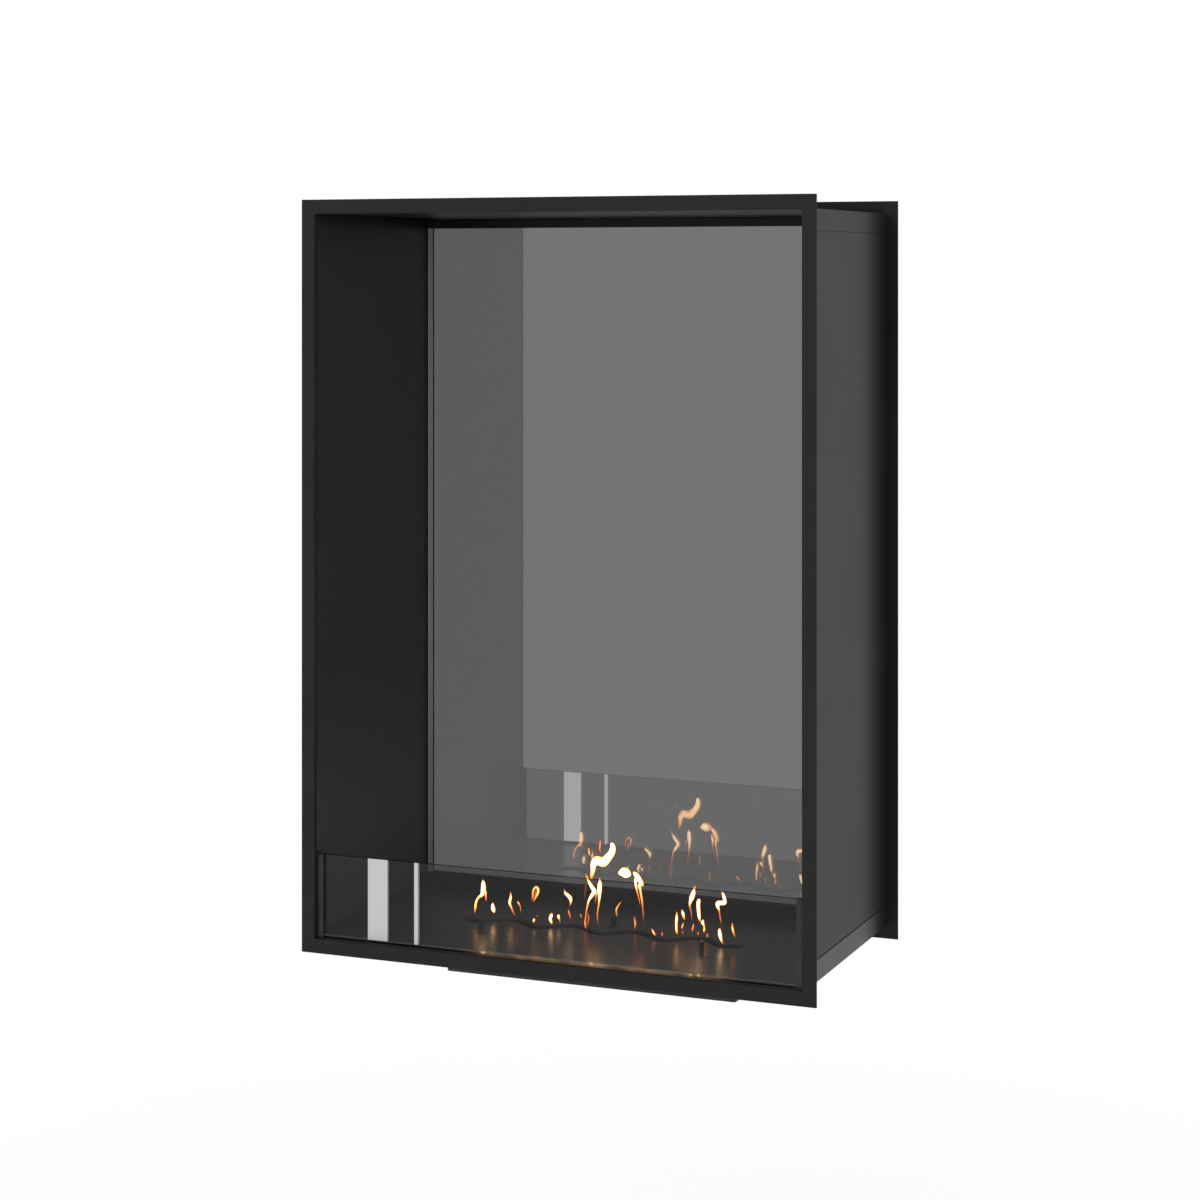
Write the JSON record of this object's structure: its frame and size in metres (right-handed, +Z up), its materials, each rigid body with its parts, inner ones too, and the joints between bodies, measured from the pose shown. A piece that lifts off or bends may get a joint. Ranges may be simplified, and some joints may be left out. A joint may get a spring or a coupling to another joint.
{
  "type": "double-sided fireplace",
  "caption": "Built-in double-sided ethanol fireplace: thin steel casing between flange frames, low front glass, tall smoked rear glass and a flush burner with a wave slot.",
  "frame": {"origin": "centre of the casing's underside, on the ledge of the wall opening that carries it", "axes": "+Z up, -Y towards the front, +X to the right seen from the front"},
  "size_m": [0.788, 0.4, 1.146],
  "materials": {
    "black_steel": "satin black powder coat",
    "inner_steel": "satin black heat-resistant paint",
    "floor_steel": "satin black heat-resistant paint",
    "dark_aluminium": "black anodised",
    "gloss_black": "gloss black enamel",
    "smoked_glass": "smoked grey, polished",
    "clear_glass": "clear, polished edges",
    "black_rubber": "matte",
    "tank_steel": "brushed",
    "pale_wool": "ceramic fibre, matte",
    "pale_metal": "satin turned"
  },
  "bodies": {
    "casing": {"front_flange_frame": "black_steel", "rear_flange_frame": "black_steel", "top_cover": "black_steel", "bottom_tray": "black_steel", "left_outer_skin": "black_steel", "right_outer_skin": "black_steel", "left_inner_liner": "inner_steel", "right_inner_liner": "inner_steel", "ceiling_panel": "inner_steel", "floor_plate": "floor_steel", "front_burner_seat": "black_steel", "rear_burner_seat": "black_steel", "left_burner_seat": "black_steel", "right_burner_seat": "black_steel", "front_glass_rail": "gloss_black", "front_glass_pad": "black_rubber", "left_glass_channel": "dark_aluminium", "right_glass_channel": "dark_aluminium", "rear_bottom_rail": "dark_aluminium", "rear_top_rail": "dark_aluminium", "rear_glass": "smoked_glass", "rear_glass_bottom_seal": "black_rubber", "rear_glass_top_seal": "black_rubber", "burner_tank": "tank_steel", "fuel_wool": "pale_wool", "left_lid_ledge": "tank_steel", "right_lid_ledge": "tank_steel"},
    "low_glass": {"low_front_glass": "clear_glass"},
    "lid": {"burner_lid": "floor_steel", "left_shutter_strap": "tank_steel", "right_shutter_strap": "tank_steel", "left_lift_knob": "pale_metal", "right_lift_knob": "pale_metal"},
    "shutter": {"shutter_plate": "tank_steel", "shutter_knob": "dark_aluminium"}
  },
  "joints": [
    {"name": "low_glass_lift", "type": "slide", "parent": "casing", "child": "low_glass", "axis": [0, 0, 1], "range_m": [0, 0.127]},
    {"name": "lid_lift", "type": "slide", "parent": "casing", "child": "lid", "axis": [0, 0, 1], "range_m": [0, 0.06]},
    {"name": "shutter_slide", "type": "slide", "parent": "lid", "child": "shutter", "axis": [0, -1, 0], "range_m": [0, 0.023]}
  ]
}
